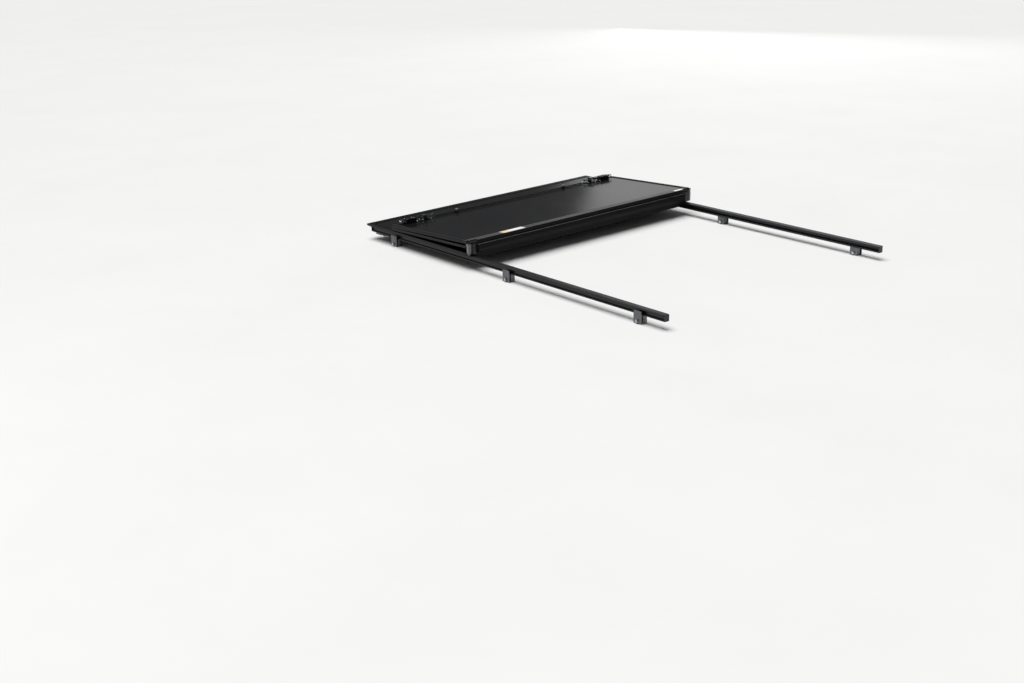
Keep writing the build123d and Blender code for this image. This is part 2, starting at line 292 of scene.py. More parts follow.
# Oiled spring steel wire, drawn and coiled: near black with a bright glint along each turn.
SPRING_WIRE = Finish(
    "oiled_spring_steel", "37383a", "26272a", 0.25, metallic=0.9, grain_mm=0.6, bump=0.05,
    patch_mm=9.0,
)
# Bead-blasted die-cast aluminium: pale grey and even.
CAST = Finish(
    "bead_blasted_cast_aluminium", "76787b", "66686b", 0.48, metallic=1.0, grain_mm=0.7, bump=0.15,
    patch_mm=40.0,
)
# Black anodised extruded aluminium: a grey-black sheen with faint die lines along the rail.
ANODISED = Finish(
    "black_anodised_aluminium", "2b2c2e", "37383b", 0.36, metallic=0.7, grain_mm=1.0, stretch=0.05,
    bump=0.12,
)
# Stamped sheet steel, black zinc plated: darker and glossier than the powder coat.
BLACK_ZINC = Finish(
    "black_zinc_steel", "151517", "222225", 0.3, metallic=0.5, grain_mm=1.0, bump=0.08,
    patch_mm=30.0,
)
# PVC cable sheath, extruded over a steel core.
PVC = Finish("extruded_pvc_sheath", "0e0e0f", "191919", 0.35, grain_mm=1.0, bump=0.05)
# Printed vinyl film: a matt white sheet and a warm block of ink, with no lettering.
FILM_WHITE = Finish("vinyl_film_white", "f5f3ee", "ebe8e1", 0.4, grain_mm=1.0, bump=0.05)
FILM_WARM = Finish("vinyl_film_amber_ink", "f4d7ab", "edcd9e", 0.4, grain_mm=1.0, bump=0.05)
# Painted studio floor, rolled: pale and matt.
STUDIO_FLOOR = Finish(
    "painted_studio_floor", "e6e6e5", "e2e2e1", 0.8, grain_mm=4.0, bump=0.03, patch_mm=900.0,
    specular=0.2,
)


@dataclass(frozen=True)
class Deck:
    """A panel's own axes and how it lies on them.

    The origin is on its hinge, along points away from the hinge and out leaves its top face. It
    starts a little past the hinge, has a length, and its cable and latches lie on one line.
    """

    body: Body
    origin: Vector
    along: Vector
    out: Vector
    start: float
    length: float
    latch_line: float = 0.0

    def at(self, x: float, along: float, out: float) -> Vector:
        """Give the point at x across, along the panel and out of its top face."""
        return Vector((x, 0, 0)) + self.origin + self.along * along + self.out * out


def joint_point(name: str) -> Vector:
    """Give a joint's position at rest, in metres."""
    found = next(j for j in frame["record"]["behaviour"]["joints"] if j["name"] == name)
    return Vector(found["pos_m"])


def joint_top(name: str) -> float:
    """Give a hinge's upper limit in degrees."""
    found = next(j for j in frame["record"]["behaviour"]["joints"] if j["name"] == name)
    return found["range_deg"][1]


SLOPE = math.radians(joint_top("panel_fold") - 90.0)
LEAN = math.radians(2.0)
BARREL_OUT = 6.6 * MM
FRONT_DECK = Deck(Body.BED, joint_point("link_fold"), CABWARD, UP, 6.4 * MM, 794 * MM)
MIDDLE_DECK = Deck(
    Body.MIDDLE,
    joint_point("panel_fold"),
    Vector((0, math.cos(SLOPE), -math.sin(SLOPE))),
    Vector((0, -math.sin(SLOPE), -math.cos(SLOPE))),
    6.4 * MM,
    590 * MM,
    569 * MM,
)
REAR_OUT = Vector((0, math.sin(LEAN), math.cos(LEAN)))
REAR_DECK = Deck(
    Body.REAR,
    joint_point("rear_fold") - REAR_OUT * BARREL_OUT,
    Vector((0, -math.cos(LEAN), math.sin(LEAN))),
    REAR_OUT,
    4.0 * MM,
    585 * MM,
    557 * MM,
)


def put_in_scene(name: str, data: bpy.types.ID) -> bpy.types.Object:
    """Make an object of a mesh, light or camera and link it to the scene.

    Args:
        name: The object's name.
        data: What it shows.

    Returns:
        The new object.
    """
    made = bpy.data.objects.new(name, data)
    bpy.context.scene.collection.objects.link(made)
    return made


def finish_piece(
    name: str,
    shape: bmesh.types.BMesh,
    body: Body,
    finish: Finish,
    stands_for: Sequence[str] = (),
    bevel_mm: float = 0.0,
    smooth: bool = True,
) -> bpy.types.Object:
    """Turn a bmesh into a dressed piece that rides on a body.

    Args:
        name: The piece's name.
        shape: Its shape, in the row frame and metres, which is used up.
        body: The CAD body it rides on.
        finish: What it is made of.
        stands_for: The CAD nodes it replaces.
        bevel_mm: The width of its broken edges, or 0 for none.
        smooth: Whether its faces shade smooth where they meet at a low angle.

    Returns:
        The new object.
    """
    mesh = from_bmesh(name, shape)
    made = put_in_scene(name, mesh)
    mesh.materials.append(finish.build())
    if smooth:
        for face in mesh.polygons:
            face.use_smooth = True
        mesh.set_sharp_from_angle(angle=SMOOTH_BELOW)
    if bevel_mm:
        break_edges(made, bevel_mm)
    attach(made, body.value)
    if stands_for:
        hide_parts(*stands_for)
    LOG.info("made %s on %s", name, body.value)
    return made


def break_edges(piece: bpy.types.Object, width_mm: float) -> None:
    """Round a piece's sharp edges.

    Args:
        piece: The object.
        width_mm: The width of the rounding.
    """
    soft = piece.modifiers.new("broken_edges", "BEVEL")
    soft.width = width_mm * MM
    soft.segments = 2
    soft.limit_method = "ANGLE"
    soft.angle_limit = math.radians(40)
    soft.harden_normals = False


def from_bmesh(name: str, shape: bmesh.types.BMesh) -> bpy.types.Mesh:
    """Close a bmesh into a mesh with its normals outward.

    Args:
        name: The mesh's name.
        shape: The bmesh, which is freed.

    Returns:
        The new mesh.
    """
    bmesh.ops.remove_doubles(shape, verts=shape.verts, dist=WELD)
    bmesh.ops.recalc_face_normals(shape, faces=shape.faces)
    mesh = bpy.data.meshes.new(name)
    shape.to_mesh(mesh)
    shape.free()
    return mesh


def circle(middle: Vector, side: Vector, other: Vector, count: int) -> list[Vector]:
    """Give the points of a circle or an ellipse.

    Args:
        middle: Its middle.
        side: Its first radius.
        other: Its second radius, square to the first.
        count: How many points it has.

    Returns:
        The points in order.
    """
    turns = [2 * math.pi * k / count for k in range(count)]
    return [middle + side * math.cos(turn) + other * math.sin(turn) for turn in turns]


def join_sections(
    shape: bmesh.types.BMesh, sections: Sequence[Sequence[Vector]], tip: Optional[Vector] = None
) -> None:
    """Join a run of sections with the same number of corners into one closed solid.

    Args:
        shape: The bmesh to add to.
        sections: The sections' corners.
        tip: The point that the last section runs to, or None to close it flat.
    """
    rings = [[shape.verts.new(point) for point in section] for section in sections]
    count = len(rings[0])
    for near, far in zip(rings, rings[1:]):
        for k in range(count):
            n = (k + 1) % count
            shape.faces.new((near[k], near[n], far[n], far[k]))
    shape.faces.new(rings[0])
    if tip is None:
        shape.faces.new(rings[-1])
        return
    peak = shape.verts.new(tip)
    for k in range(count):
        shape.faces.new((rings[-1][k], rings[-1][(k + 1) % count], peak))


def add_prism(
    shape: bmesh.types.BMesh, outline: Sequence[Vector], travel: Vector, stations: int = 1
) -> None:
    """Add a closed prism: an outline carried along a straight travel.

    Args:
        shape: The bmesh to add to.
        outline: The section's corners in order.
        travel: The extrusion, from the first section to the last.
        stations: How many lengths it is divided into.
    """
    join_sections(
        shape, [[p + travel * (i / stations) for p in outline] for i in range(stations + 1)]
    )


def add_tube(
    shape: bmesh.types.BMesh, path: Sequence[Vector], radius: float, sides: int = 12
) -> None:
    """Add a closed round tube along a path.

    Args:
        shape: The bmesh to add to.
        path: Its centre line.
        radius: Its radius in metres.
        sides: How many sides it has.
    """
    sections = []
    side = UP.copy()
    for i, point in enumerate(path):
        ahead = path[min(i + 1, len(path) - 1)] - path[max(i - 1, 0)]
        ahead.normalize()
        side = side - ahead * side.dot(ahead)
        if side.length < 1e-6:
            side = ahead.orthogonal()
        side.normalize()
        sections.append(circle(point, side * radius, ahead.cross(side) * radius, sides))
    join_sections(shape, sections)


def add_dome(
    shape: bmesh.types.BMesh, base: Vector, axis: Vector, radius: float, height: float
) -> None:
    """Add a low domed head, such as a rivet's or a screw's.

    Args:
        shape: The bmesh to add to.
        base: The middle of its seat.
        axis: The unit direction it stands in.
        radius: Its seat's radius.
        height: Its height.
    """
    side = axis.orthogonal().normalized()
    other = axis.cross(side)
    sides, levels = 16, 5
    sections = []
    for level in range(levels):
        turn = math.pi / 2 * level / levels
        r, h = radius * math.cos(turn), height * math.sin(turn)
        sections.append(circle(base + axis * h, side * r, other * r, sides))
    join_sections(shape, sections, base + axis * height)


@dataclass
class CadDressing:
    """The finishes of the CAD pieces whose shape is kept, and their broken edges."""

    finishes: dict[str, Finish] = field(
        default_factory=lambda: {
            "foam_core": FOAM,
            "panel_skin": PANEL_SKIN,
            "rubber": RUBBER,
            "black_plastic": NYLON,
            "cable_sheath": PVC,
            "zinc_steel": ZINC,
            "label": FILM_WHITE,
            "clamp_aluminium": CAST,
            "latch_steel": BLACK_ZINC,
            "rail_aluminium": ANODISED,
            "black_aluminium": POWDER_COAT,
        }
    )
    edge_mm: dict[str, float] = field(
        default_factory=lambda: {
            "black_aluminium": 0.9,
            "rail_aluminium": 0.8,
            "clamp_aluminium": 1.2,
            "latch_steel": 0.8,
            "zinc_steel": 0.5,
            "black_plastic": 1.0,
        }
    )
    dull: tuple[str, ...] = ("hinge_link", "front_cross_bow")

    def dress(self) -> None:
        """Give every CAD node its finish and round its corners."""
        for part in frame["record"]["subparts"]:
            node = frame["nodes"][part["node"]]
            slot = part["material_slot"]
            finish = WRINKLE_COAT if part["node"] in self.dull else self.finishes[slot]
            material = finish.build()
            if node.material_slots:
                for place in node.material_slots:
                    place.material = material
            else:
                node.data.materials.append(material)
            if slot in self.edge_mm and not part["node"].endswith("_spring"):
                break_edges(node, self.edge_mm[slot])


@dataclass
class Seals:
    """The rubber seals: a bulb on a flat foot, under the panels' edges and beside the rails."""

    inner: float = 758 * MM
    outer: float = 768 * MM
    foot: float = 1.0 * MM
    tall: float = 2.9 * MM
    waist: float = 0.72
    rib: float = 0.5 * MM
    rail_round: float = 1.2 * MM
    tail_at: float = 582 * MM
    tail_out: float = -7.5 * MM
    tail_half: tuple[float, float] = (5 * MM, 1.5 * MM)
    squared: float = 0.75

    def bulb(self, middle: Vector, across: Vector, down: Vector, half: float) -> list[Vector]:
        """Give a seal's section: a thin foot that narrows to a round bulb.

        Args:
            middle: The middle of the foot's top.
            across: The unit direction across the seal.
            down: The unit direction the bulb hangs in.
            half: Half the foot's width.

        Returns:
            The section's corners in order.
        """
        points = [middle - across * half, middle - across * half + down * self.foot]
        radius = half * self.waist
        for step in range(9):
            turn = math.pi * step / 8
            points.append(
                middle
                - across * radius * math.cos(turn)
                + down * (self.foot + (self.tall - self.foot) * math.sin(turn))
            )
        points += [middle + across * half + down * self.foot, middle + across * half]
        return points

    def side_pair(self, deck: Deck, name: str) -> None:
        """Make a panel's two side seals.

        Args:
            deck: The panel's axes.
            name: The CAD node they stand for.
        """
        shape = bmesh.new()
        for side in (-1, 1):
            middle = deck.at(side * (self.inner + self.outer) / 2, deck.start, -HALF_THICK)
            section = self.bulb(middle, ACROSS, -deck.out, (self.outer - self.inner) / 2)
            add_prism(shape, section, deck.along * deck.length, 4)
        finish_piece(
            name.replace("_seals", "_bulb_seals"), shape, deck.body, RUBBER, [name]
        )

    def rail_lip(self, side: int, name: str) -> None:
        """Make the ribbed seal between a rail and the bed's side.

        Args:
            side: -1 for the left rail, 1 for the right.
            name: The CAD node it stands for.
        """
        low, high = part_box(name)
        near = low.x if side > 0 else high.x
        width = high.x - low.x
        outline = []
        ribs = 2
        for step in range(4 * ribs + 1):
            share = step / (4 * ribs)
            dip = self.rib * (1 - math.cos(2 * math.pi * ribs * share)) / 2
            edge = min(share, 1 - share) * 2
            top = high.z - dip - self.rail_round * (1 - edge) ** 3
            outline.append(Vector((near + side * width * share, low.y, top)))
        outline += [
            Vector((near + side * width, low.y, low.z + 1 * MM)),
            Vector((near + side * width * 0.8, low.y, low.z)),
            Vector((near, low.y, low.z)),
        ]
        shape = bmesh.new()
        add_prism(shape, outline, Vector((0, high.y - low.y, 0)), 8)
        finish_piece(
            name.replace("_seal", "_ribbed_seal"), shape, Body.BED, RUBBER, [name]
        )

    def end_bulb(self, name: str, body: Body, deck: Optional[Deck]) -> None:
        """Make the round seal across the cover's front or tail end.

        Args:
            name: The CAD node it stands for.
            body: The body it rides on.
            deck: The panel's axes for the tail seal, or None for the one at the cab.
        """
        low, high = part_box(name)
        shape = bmesh.new()
        if deck is None:
            middle = Vector((low.x, (low.y + high.y) / 2, (low.z + high.z) / 2))
            wide, tall = (high.y - low.y) / 2, (high.z - low.z) / 2
            ahead, up = CABWARD, UP
        else:
            middle = deck.at(low.x, self.tail_at, self.tail_out)
            wide, tall = self.tail_half
            ahead, up = deck.along, deck.out
        outline = []
        steps = 20
        for step in range(steps):
            turn = 2 * math.pi * step / steps
            c, s = math.cos(turn), math.sin(turn)
            outline.append(
                middle
                + ahead * wide * math.copysign(abs(c) ** self.squared, c)
                + up * tall * math.copysign(abs(s) ** self.squared, s)
            )
        add_prism(shape, outline, Vector((high.x - low.x, 0, 0)), 6)
        finish_piece(
            name.replace("_seal", "_round_seal"), shape, body, RUBBER, [name]
        )

    def build(self) -> None:
        """Make every seal."""
        self.side_pair(FRONT_DECK, "front_side_seals")
        self.side_pair(MIDDLE_DECK, "middle_side_seals")
        self.side_pair(REAR_DECK, "rear_side_seals")
        self.rail_lip(-1, "left_rail_seal")
        self.rail_lip(1, "right_rail_seal")
        self.end_bulb("bulkhead_seal", Body.BED, None)
        self.end_bulb("tailgate_seal", Body.REAR, REAR_DECK)


@dataclass
class Latch:
    """One sprung slam latch on a panel's underside, drawn in by a cable."""

    deck: Deck
    side: int
    tag: str
    coil_start: float
    coil_radius: float
    wire: float
    turns: float
    plate_rivets: tuple[float, float, float]
    ear: Optional[float] = None
    coil_end: float = 650 * MM
    stroke: float = 12.5 * MM
    crown: float = -31.4 * MM
    stem_out: float = -22.5 * MM
    plate_out: float = -8.4 * MM
    guide_out: float = -27.5 * MM
    guide_screws: tuple[float, float] = (658 * MM, 703 * MM)
    sheath_end: float = 508 * MM
    sheath_out: float = -12 * MM
    eye: float = 530.5 * MM

    def place(self, x: float, along: float, out: float) -> Vector:
        """Give a point at x outward from the truck's middle, along from the bolt's line."""
        return self.deck.at(self.side * x, self.deck.latch_line + along, out)

    def spring(self) -> None:
        """Wind the return spring round the bolt's stem, with a closed turn at each end."""
        shape = bmesh.new()
        path = []
        steps = int(self.turns * 20)
        length = self.coil_end - self.coil_start - 2 * self.wire
        for i in range(steps + 1):
            share = i / steps
            turn = 2 * math.pi * self.turns * share
            eased = share + 0.35 * math.sin(2 * math.pi * (share + 0.5)) / (2 * math.pi)
            path.append(
                self.place(
                    self.coil_start + self.wire + length * eased,
                    self.coil_radius * math.cos(turn),
                    self.stem_out + self.coil_radius * math.sin(turn),
                )
            )
        add_tube(shape, path, self.wire, 10)
        stands = [self.tag + "_spring"] if self.tag.startswith("middle") else []
        coil = finish_piece(
            self.tag + "_coil", shape, self.deck.body, SPRING_WIRE, stands
        )
        tuple(self.place(self.coil_start, 0.0, self.stem_out))
        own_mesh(coil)

    def bracket(self, ear: float) -> None:
        """Fold the bright anchor bracket: a strap up each side of the ear and a roof over it.

        Args:
            ear: Where the ear's inner face stands.
        """
        shape = bmesh.new()
        inner, outer = ear - 1.0 * MM, ear + 22 * MM
        thick, half = 1.6 * MM, 13.5 * MM
        foot = self.plate_out - 0.1 * MM
        side = [
            (inner, foot), (inner + 5.5 * MM, foot), (inner + 6.5 * MM, self.stem_out),
            (outer, self.crown + 6 * MM), (outer, self.crown), (inner, self.crown),
        ]
        roof = [
            (inner, self.crown), (outer, self.crown), (outer, self.crown + thick),
            (inner, self.crown + thick),
        ]
        gap = half - thick
        for outline, low, high in ((side, -half, -gap), (side, gap, half), (roof, -gap, gap)):
            corners = [self.place(x, low, out) for x, out in outline]
            add_prism(shape, corners, self.deck.along * (high - low))
        finish_piece(
            self.tag + "_anchor_bracket", shape, self.deck.body, ZINC, bevel_mm=0.5
        )

    def fixings(self) -> None:
        """Rivet the latch's base down and screw its guide shut."""
        shape = bmesh.new()
        for places, reach, seat, radius, height in (
            (self.plate_rivets, 15 * MM, self.plate_out, 3.4 * MM, 1.8 * MM),
            (self.guide_screws, 11 * MM, self.guide_out, 2.6 * MM, 1.0 * MM),
        ):
            for along in (-reach, reach):
                for x in places:
                    add_dome(shape, self.place(x, along, seat), -self.deck.out, radius, height)
        finish_piece(self.tag + "_latch_rivets", shape, self.deck.body, ZINC)

    def pull(self) -> None:
        """Run the inner cable from the sheath's end to the stem's eye, with its crimp."""
        shape = bmesh.new()
        path = []
        steps = 12
        for i in range(steps + 1):
            share = i / steps
            rise = (self.stem_out - self.sheath_out) * (3 * share**2 - 2 * share**3)
            across = self.sheath_end + (self.eye - self.sheath_end) * share
            path.append(self.place(across, 0.0, self.sheath_out + rise))
        add_tube(shape, path, 0.9 * MM, 8)
        add_tube(shape, path[-3:], 1.9 * MM, 12)
        finish_piece(self.tag + "_inner_cable", shape, self.deck.body, ZINC)

    def build(self) -> None:
        """Make the latch's small pieces."""
        self.spring()
        if self.ear is not None:
            self.bracket(self.ear)
        self.fixings()
        self.pull()


@dataclass
class Cables:
    """The release cables and the clips that hold them."""

    radius: float = 2.4 * MM
    half: float = 515 * MM
    out: float = -12 * MM
    end_bow: float = 1.6 * MM
    middle_bow: float = 4.0 * MM
    clip_half: tuple[float, float] = (7 * MM, 7.5 * MM)
    foot_half: float = 9 * MM
    post_sides: int = 20
    # The guide post's radius and its height above the panel's middle, in millimetres.
    post_profile: tuple[tuple[float, float], ...] = (
        (6.5, 14.0), (7.0, 15.5), (5.6, 17.5), (5.6, 19.0), (8.2, 20.5), (8.8, 22.0),
        (8.4, 23.4), (6.6, 24.6), (3.4, 25.3),
    )

    def run(self, deck: Deck, name: str) -> None:
        """Lay one cable: straight in its clips, bowed a little between them.

        Args:
            deck: The panel's axes.
            name: The CAD node it stands for.
        """
        shape = bmesh.new()
        path = []
        steps = 80
        past_clip = self.half - CLIP_REACH
        for i in range(steps + 1):
            x = -self.half + 2 * self.half * i / steps
            ends = math.sin(math.pi * min(max((abs(x) - CLIP_REACH) / past_clip, 0), 1))
            centre = math.cos(math.pi * x / (2 * CLIP_REACH)) if abs(x) < CLIP_REACH else 0.0
            bow = self.end_bow * ends - self.middle_bow * max(centre, 0)
            path.append(deck.at(x, deck.latch_line + bow, self.out))
        add_tube(shape, path, self.radius, 12)
        finish_piece(
            name.replace("_cable", "_cable_run"), shape, deck.body, PVC, [name]
        )

    def clips(self, deck: Deck, name: str) -> None:
        """Make the two saddle clips: a round post on a foot, with the cable through it.

        Args:
            deck: The panel's axes.
            name: The CAD node they stand for.
        """
        shape = bmesh.new()
        long, wide = self.clip_half
        arch, foot_top = -11.0 * MM, -7.4 * MM
        section = []
        steps = 12
        for step in range(steps + 1):
            turn = math.pi * step / steps
            section.append((-wide * math.cos(turn), arch - 6.0 * MM * math.sin(turn)))
        section += [
            (self.foot_half, foot_top), (self.foot_half, -HALF_THICK),
            (-self.foot_half, -HALF_THICK), (-self.foot_half, foot_top),
        ]
        for x in (-CLIP_REACH, CLIP_REACH):
            outline = [deck.at(x - long, deck.latch_line + y, out) for y, out in section]
            add_prism(shape, outline, Vector((2 * long, 0, 0)), 2)
        finish_piece(
            name.replace("_clips", "_saddles"), shape, deck.body, NYLON, [name],
            bevel_mm=0.7,
        )

    def posts(self, deck: Deck, name: str) -> None:
        """Turn the two guide posts that stand on the clips, waisted below a domed head.

        Args:
            deck: The panel's axes.
            name: The piece's name.
        """
        shape = bmesh.new()
        for x in (-CLIP_REACH, CLIP_REACH):
            sections = [
                circle(
                    deck.at(x, deck.latch_line, -tall * MM), ACROSS * radius * MM,
                    deck.along * radius * MM, self.post_sides,
                )
                for radius, tall in self.post_profile
            ]
            join_sections(shape, sections)
        finish_piece(name, shape, deck.body, ACETAL_AND_PAINTED_END_LIGHT)

    def build(self) -> None:
        """Make both cables, their clips and the middle panel's guide posts."""
        self.posts(MIDDLE_DECK, "middle_cable_posts")
        self.run(MIDDLE_DECK, "middle_release_cable")
        self.run(REAR_DECK, "rear_release_cable")
        self.clips(MIDDLE_DECK, "middle_cable_clips")
        self.clips(REAR_DECK, "rear_cable_clips")


@dataclass
class HingeEdge:
    """The cover strip along the middle panel's hinge bar, and the two film labels on it. The
    strip's grey is painted reflection.
    """

    lip: float = -9.5 * MM
    edge: float = 6.6 * MM
    far: float = 33.6 * MM
    face: float = -HALF_THICK
    lift: float = 0.3 * MM
    proud: float = 1.1 * MM
    half: float = 771 * MM
    lip_half: float = 715 * MM
    film: float = 0.3 * MM
    film_round: float = 2 * MM
    film_near: float = -7.0 * MM

    def strip(self) -> None:
        """Lay the cover strip: rolled down at its far edge, with a lip that hoods the hinge. Its
        pale grey is painted reflection from the bar's top.
        """
        shape = bmesh.new()
        top = self.face - self.proud
        roll = 1.6 * MM
        arc = [
            (roll * (1 - math.cos(math.pi / 2 * t)), self.proud * math.sin(math.pi / 2 * t))
            for t in (0.0, 0.35, 0.7, 1.0)
        ]
        bar = [(self.edge, self.face), (self.edge, top)]
        bar += [(self.far - y, self.face - z) for y, z in reversed(arc)]
        hood = [(self.edge, self.face - self.lift), (self.lip + roll, self.face - self.lift)]
        hood += [(self.lip + y * 0.8, self.face - self.lift - z * 0.72) for y, z in arc]
        hood += [(self.edge, top)]
        for section, half in ((bar, self.half), (hood, self.lip_half)):
            outline = [MIDDLE_DECK.at(-half, y, z) for y, z in section]
            add_prism(shape, outline, Vector((2 * half, 0, 0)), 8)
        # The strip's grey, paler than the black bar, is painted reflection of the light from above.
        finish_piece("middle_hinge_strip_painted_reflection", shape, Body.MIDDLE, HINGE_STRIP_PAINTED_REFLECTION)

    def patch(
        self, box: tuple[float, float, float, float], level: float, name: str, finish: Finish,
        stands_for: Sequence[str] = (),
    ) -> None:
        """Lay one film patch with rounded corners.

        Args:
            box: Its left and right edges, then its near and far edges along the panel.
            level: How many films lie under it.
            name: The piece's name.
            finish: What it is made of.
            stands_for: The CAD nodes it replaces.
        """
        x0, x1, y0, y1 = box
        shape = bmesh.new()
        radius = self.film_round
        base = self.face - self.proud - level * self.film
        outline = []
        for cx, cy, first in (
            (x1 - radius, y1 - radius, 0.0),
            (x0 + radius, y1 - radius, 90.0),
            (x0 + radius, y0 + radius, 180.0),
            (x1 - radius, y0 + radius, 270.0),
        ):
            for step in range(5):
                turn = math.radians(first + 90 * step / 4)
                outline.append(
                    MIDDLE_DECK.at(cx + radius * math.cos(turn), cy + radius * math.sin(turn), base)
                )
        add_prism(shape, outline, -MIDDLE_DECK.out * self.film)
        finish_piece(name, shape, Body.MIDDLE, finish, stands_for, smooth=False)

    def build(self) -> None:
        """Lay the strip and both labels."""
        self.strip()
        near = self.film_near
        low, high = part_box("caution_label")
        whole = (low.x, high.x, near, near + 36 * MM)
        ink = (low.x + 3 * MM, low.x + 44 * MM, near + 3 * MM, near + 33 * MM)
        self.patch(whole, 0, "caution_film", FILM_WHITE, ["caution_label"])
        self.patch(ink, 1, "caution_ink", FILM_WARM)
        low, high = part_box("care_label")
        whole = (low.x, high.x, near + 4 * MM, near + 24 * MM)
        self.patch(whole, 0, "care_film", FILM_WHITE, ["care_label"])


@dataclass
class LinkTrim:
    """The hinge link's moulded end caps, whose pale end shells are partly painted light, and the
    bright bead along its top edge, which is a painted highlight.
    """

    half: float = 717.5 * MM
    end: float = 772 * MM
    top: float = 51.5 * MM
    foot: float = -3.6 * MM
    depth: float = 8.2 * MM
    flare: float = 11.0 * MM
    eye: float = 59 * MM
    socket: tuple[float, float] = (3.95 * MM, 5.85 * MM)
    seam: float = 757 * MM
    corner: float = 10 * MM
    front_round: float = 2.2 * MM
    behind: float = 4.6 * MM
    highlight_bead_reach: float = 716.5 * MM
    highlight_bead_forward: float = 10.2 * MM
    highlight_bead_high: float = 43.2 * MM

    def body_stations(self) -> list[tuple[float, float]]:
        """Give the cap body's stations: a raised rim between two grooves.

        Returns:
            Pairs of distance from the truck's middle and depth in front of the hinge line.
        """
        full, sunk = self.depth, self.depth - 3.4 * MM
        return [
            (self.half, sunk), (729.0 * MM, sunk), (729.6 * MM, full - 1.0 * MM),
            (731.0 * MM, full), (742.0 * MM, full), (743.4 * MM, full - 1.0 * MM),
            (744.0 * MM, sunk), (self.seam, sunk),
        ]

    def shell_stations(self) -> list[tuple[float, float]]:
        """Give the end shell's stations: a rolled lip, a flat and the corner round to the end.

        Returns:
            Pairs of distance from the truck's middle and depth in front of the hinge line.
        """
        turn_in = self.end - self.corner
        pairs = [
            (self.seam, self.depth - 1.4 * MM), (self.seam + 1 * MM, self.depth),
            (turn_in, self.depth),
        ]
        for step in range(1, 9):
            turn = math.pi / 2 * step / 8
            sink = 3.6 * MM * (1 - math.cos(turn))
            pairs.append((turn_in + self.corner * math.sin(turn), self.depth - sink))
        return pairs

    def ring(self, depth: float) -> list[tuple[float, float]]:
        """Give the cap's section at one station.

        Args:
            depth: How far it stands in front of the hinge line.

        Returns:
            Pairs of distance along Y and height from the lower hinge's line.
        """
        ring = []
        for step in range(11):
            turn = math.pi * step / 10
            z = self.foot + (self.top - self.foot) * (1 - math.cos(turn)) / 2
            bulge = self.front_round * (math.sin(turn) ** 0.5 - 1)
            ring.append((-depth - bulge, z))
        shelf = self.top - 3 * MM
        ring += [(self.flare, self.top), (self.flare, shelf)]
        for step in range(1, 7):
            share = step / 6
            back = self.flare + (self.behind - self.flare) * math.sin(math.pi / 2 * share) ** 0.7
            ring.append((back, shelf - 16 * MM * share**1.4))
        return ring + [(self.behind, 7.0 * MM), (-2.4 * MM, 6.0 * MM), (-2.4 * MM, self.foot)]

    def loft(
        self, side: int, stations: list[tuple[float, float]], shape: bmesh.types.BMesh
    ) -> None:
        """Join the sections at a run of stations into one closed solid.

        Args:
            side: -1 for the left cap, 1 for the right.
            stations: Where the sections stand and how deep they are.
            shape: The bmesh to add to.
        """
        pivot = FRONT_DECK.origin
        sections = [
            [Vector((side * x, pivot.y + y, pivot.z + z)) for y, z in self.ring(depth)]
            for x, depth in stations
        ]
        join_sections(shape, sections)

    def cap(self, side: int, name: str) -> None:
        """Mould one end cap: its dark grooved body with the eyelet, and the pale end shell, whose
        paleness is partly painted light from the left.

        Args:
            side: -1 for the left cap, 1 for the right.
            name: The CAD node it stands for.
        """
        shape = bmesh.new()
        self.loft(side, self.body_stations(), shape)
        self.eyelet(shape, side)
        finish_piece(
            name.replace("_cap", "_cap_body"), shape, Body.LINK, NYLON, [name]
        )
        shell = bmesh.new()
        self.loft(side, self.shell_stations(), shell)
        # The end shell's pale grey is partly painted light: the light from the left that the link's
        # end face catches.
        finish_piece(
            name.replace("_cap", "_end_shell_painted_light"), shell, Body.LINK, ACETAL_AND_PAINTED_END_LIGHT
        )

    def eyelet(self, shape: bmesh.types.BMesh, side: int) -> None:
        """Add the open ring that carries the middle panel's bead at the cap's top.

        Args:
            shape: The cap's bmesh.
            side: -1 for the left cap, 1 for the right.
        """
        pivot = FRONT_DECK.origin
        inner, outer = self.socket
        outline = []
        steps = 20
        first, last = 112, 334
        for radius, turns in ((outer, range(steps + 1)), (inner, range(steps, -1, -1))):
            for step in turns:
                turn = math.radians(first + (last - first) * step / steps)
                y = pivot.y + radius * math.cos(turn)
                z = pivot.z + self.eye + radius * math.sin(turn)
                outline.append(Vector((side * self.half, y, z)))
        add_prism(shape, outline, Vector((side * (self.end - self.half), 0, 0)), 2)

    def bead(self) -> None:
        """Draw the bright bead along the crowned face's top edge, as a painted highlight on that
        edge.
        """
        pivot = FRONT_DECK.origin
        reach = self.highlight_bead_reach
        y, z = pivot.y - self.highlight_bead_forward, pivot.z + self.highlight_bead_high
        shape = bmesh.new()
        path = [Vector((-reach + 2 * reach * i / 12, y, z)) for i in range(13)]
        add_tube(shape, path, 1.7 * MM, 12)
        # The pale metal tube is a painted highlight along the link's top edge.
        finish_piece("link_top_painted_highlight", shape, Body.LINK, PAINTED_HIGHLIGHT_BEAD)

    def build(self) -> None:
        """Make both caps and the painted highlight bead."""
        self.cap(-1, "left_link_cap")
        self.cap(1, "right_link_cap")
        self.bead()


